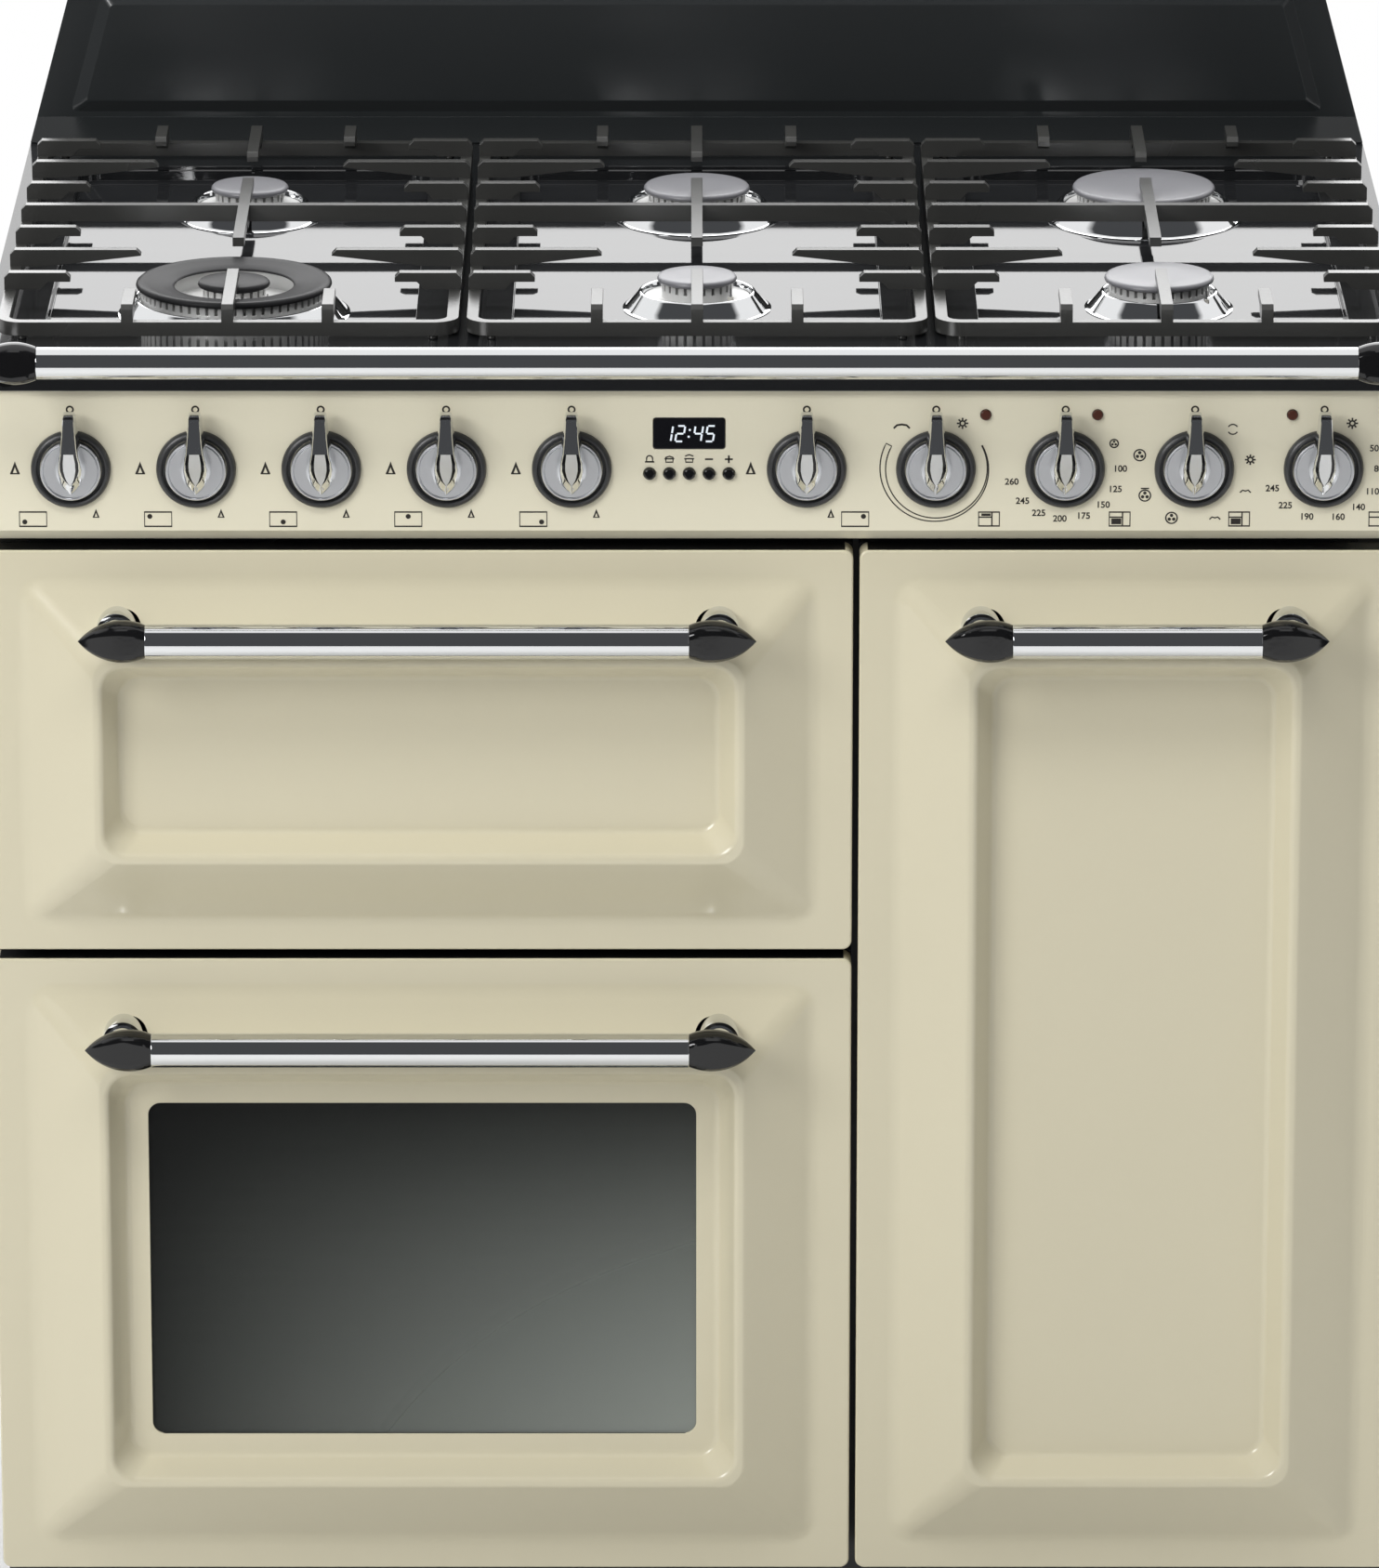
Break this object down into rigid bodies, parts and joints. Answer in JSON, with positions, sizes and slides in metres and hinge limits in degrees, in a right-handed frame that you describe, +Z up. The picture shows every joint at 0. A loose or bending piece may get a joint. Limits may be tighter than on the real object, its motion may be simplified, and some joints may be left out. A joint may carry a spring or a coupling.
{
  "type": "range cooker",
  "caption": "Wide retro range cooker: gas hob under cast pan supports, knob panel with clock, embossed drop-down and side-hung oven doors with bar handles.",
  "frame": {"origin": "on the floor, under the middle of the whole cooker's box", "axes": "+X to the right, +Y to the rear, +Z up"},
  "size_m": [0.9, 0.6564, 1.005],
  "materials": {
    "cream_enamel": "glossy vitreous enamel",
    "black_enamel": "mirror-gloss vitreous enamel",
    "carcass_steel": "satin black paint",
    "zinc_sheet": "zinc-coated sheet",
    "oven_enamel": "speckled oven enamel",
    "chrome": "polished",
    "black_gloss": "gloss",
    "support_iron": "matt enamelled iron",
    "burner_alloy": "cast",
    "cap_enamel": "matt enamel",
    "door_glass": "tinted",
    "display_glass": "gloss",
    "lamp_lens": "clear tinted lens",
    "seal_rubber": "matt",
    "fan_steel": "plain",
    "gas_brass": "plain"
  },
  "bodies": {
    "cooker": {"back_panel": "zinc_sheet", "base_tray": "zinc_sheet", "burner_caps": "cap_enamel", "burner_cups": "chrome", "burner_heads": "burner_alloy", "control_panel": "cream_enamel", "display_window": "display_glass", "door_seals": "seal_rubber", "fan_motors": "fan_steel", "front_frame": "carcass_steel", "front_rail_bar": "chrome", "front_rail_caps": "black_gloss", "gas_manifold": "gas_brass", "grill_cavity": "oven_enamel", "heating_elements": "fan_steel", "hob_top": "black_enamel", "indicator_lamps": "lamp_lens", "knob_bezels": "black_gloss", "levelling_feet": "seal_rubber", "main_cavity": "oven_enamel", "oven_shelves": "chrome", "plinth_panel": "carcass_steel", "side_panel_left": "carcass_steel", "side_panel_right": "carcass_steel", "splashback": "black_enamel", "tall_cavity": "oven_enamel", "taps_and_switches": "gas_brass"},
    "knob_front_left": {"knob_front_left": "chrome"},
    "knob_rear_left": {"knob_rear_left": "chrome"},
    "knob_front_middle": {"knob_front_middle": "chrome"},
    "knob_rear_middle": {"knob_rear_middle": "chrome"},
    "knob_front_right": {"knob_front_right": "chrome"},
    "knob_rear_right": {"knob_rear_right": "chrome"},
    "knob_grill": {"knob_grill": "chrome"},
    "knob_main_oven": {"knob_main_oven": "chrome"},
    "knob_function": {"knob_function": "chrome"},
    "knob_tall_oven": {"knob_tall_oven": "chrome"},
    "button_1": {"button_1": "chrome"},
    "button_2": {"button_2": "chrome"},
    "button_3": {"button_3": "chrome"},
    "button_4": {"button_4": "chrome"},
    "button_5": {"button_5": "chrome"},
    "pan_support_left": {"pan_support_left": "support_iron"},
    "pan_support_middle": {"pan_support_middle": "support_iron"},
    "pan_support_right": {"pan_support_right": "support_iron"},
    "fan_main": {"fan_impeller_main": "fan_steel"},
    "fan_tall": {"fan_impeller_tall": "fan_steel"},
    "upper_door": {"upper_door_panel": "cream_enamel", "upper_door_liner": "oven_enamel", "upper_handle_bar": "chrome", "upper_handle_caps": "black_gloss"},
    "lower_door": {"lower_door_panel": "cream_enamel", "lower_door_liner": "oven_enamel", "lower_handle_bar": "chrome", "lower_handle_caps": "black_gloss", "lower_door_glass": "door_glass"},
    "right_door": {"right_door_panel": "cream_enamel", "right_door_liner": "oven_enamel", "right_handle_bar": "chrome", "right_handle_caps": "black_gloss"}
  },
  "joints": [
    {"name": "front_left_knob_turn", "type": "hinge", "parent": "cooker", "child": "knob_front_left", "pos_m": [-0.392, -0.27183, 0.818], "axis": [0, -1, 0], "range_deg": [0, 210]},
    {"name": "rear_left_knob_turn", "type": "hinge", "parent": "cooker", "child": "knob_rear_left", "pos_m": [-0.31362, -0.27183, 0.818], "axis": [0, -1, 0], "range_deg": [0, 210]},
    {"name": "front_middle_knob_turn", "type": "hinge", "parent": "cooker", "child": "knob_front_middle", "pos_m": [-0.23525, -0.27183, 0.818], "axis": [0, -1, 0], "range_deg": [0, 210]},
    {"name": "rear_middle_knob_turn", "type": "hinge", "parent": "cooker", "child": "knob_rear_middle", "pos_m": [-0.15687, -0.27183, 0.818], "axis": [0, -1, 0], "range_deg": [0, 210]},
    {"name": "front_right_knob_turn", "type": "hinge", "parent": "cooker", "child": "knob_front_right", "pos_m": [-0.0785, -0.27183, 0.818], "axis": [0, -1, 0], "range_deg": [0, 210]},
    {"name": "rear_right_knob_turn", "type": "hinge", "parent": "cooker", "child": "knob_rear_right", "pos_m": [0.0685, -0.27183, 0.818], "axis": [0, -1, 0], "range_deg": [0, 210]},
    {"name": "grill_knob_turn", "type": "hinge", "parent": "cooker", "child": "knob_grill", "pos_m": [0.14938, -0.27183, 0.818], "axis": [0, -1, 0], "range_deg": [-250, 0]},
    {"name": "main_oven_knob_turn", "type": "hinge", "parent": "cooker", "child": "knob_main_oven", "pos_m": [0.23025, -0.27183, 0.818], "axis": [0, -1, 0], "range_deg": [-250, 0]},
    {"name": "function_knob_turn", "type": "hinge", "parent": "cooker", "child": "knob_function", "pos_m": [0.31112, -0.27183, 0.818], "axis": [0, -1, 0], "continuous": true},
    {"name": "tall_oven_knob_turn", "type": "hinge", "parent": "cooker", "child": "knob_tall_oven", "pos_m": [0.392, -0.27183, 0.818], "axis": [0, -1, 0], "range_deg": [-250, 0]},
    {"name": "button_1_press", "type": "slide", "parent": "cooker", "child": "button_1", "axis": [0, 1, 0], "range_m": [0, 0.001], "stiffness_N_per_m": 500},
    {"name": "button_2_press", "type": "slide", "parent": "cooker", "child": "button_2", "axis": [0, 1, 0], "range_m": [0, 0.001], "stiffness_N_per_m": 500},
    {"name": "button_3_press", "type": "slide", "parent": "cooker", "child": "button_3", "axis": [0, 1, 0], "range_m": [0, 0.001], "stiffness_N_per_m": 500},
    {"name": "button_4_press", "type": "slide", "parent": "cooker", "child": "button_4", "axis": [0, 1, 0], "range_m": [0, 0.001], "stiffness_N_per_m": 500},
    {"name": "button_5_press", "type": "slide", "parent": "cooker", "child": "button_5", "axis": [0, 1, 0], "range_m": [0, 0.001], "stiffness_N_per_m": 500},
    {"name": "left_support_lift", "type": "slide", "parent": "cooker", "child": "pan_support_left", "axis": [0, 0, 1], "range_m": [0, 0.12]},
    {"name": "middle_support_lift", "type": "slide", "parent": "cooker", "child": "pan_support_middle", "axis": [0, 0, 1], "range_m": [0, 0.12]},
    {"name": "right_support_lift", "type": "slide", "parent": "cooker", "child": "pan_support_right", "axis": [0, 0, 1], "range_m": [0, 0.12]},
    {"name": "main_fan_spin", "type": "hinge", "parent": "cooker", "child": "fan_main", "pos_m": [-0.175, 0.18817, 0.2905], "axis": [0, 1, 0], "continuous": true},
    {"name": "tall_fan_spin", "type": "hinge", "parent": "cooker", "child": "fan_tall", "pos_m": [0.275, 0.18817, 0.427], "axis": [0, 1, 0], "continuous": true},
    {"name": "upper_door_drop", "type": "hinge", "parent": "cooker", "child": "upper_door", "pos_m": [-0.175, -0.25783, 0.522], "axis": [1, 0, 0], "range_deg": [0, 90], "stiffness_Nm_per_rad": 2, "springref_deg": -34.38},
    {"name": "lower_door_drop", "type": "hinge", "parent": "cooker", "child": "lower_door", "pos_m": [-0.175, -0.25783, 0.103], "axis": [1, 0, 0], "range_deg": [0, 90], "stiffness_Nm_per_rad": 4, "springref_deg": -34.38},
    {"name": "right_door_swing", "type": "hinge", "parent": "cooker", "child": "right_door", "pos_m": [0.428, -0.25783, 0.424], "axis": [0, 0, 1], "range_deg": [0, 95]}
  ]
}
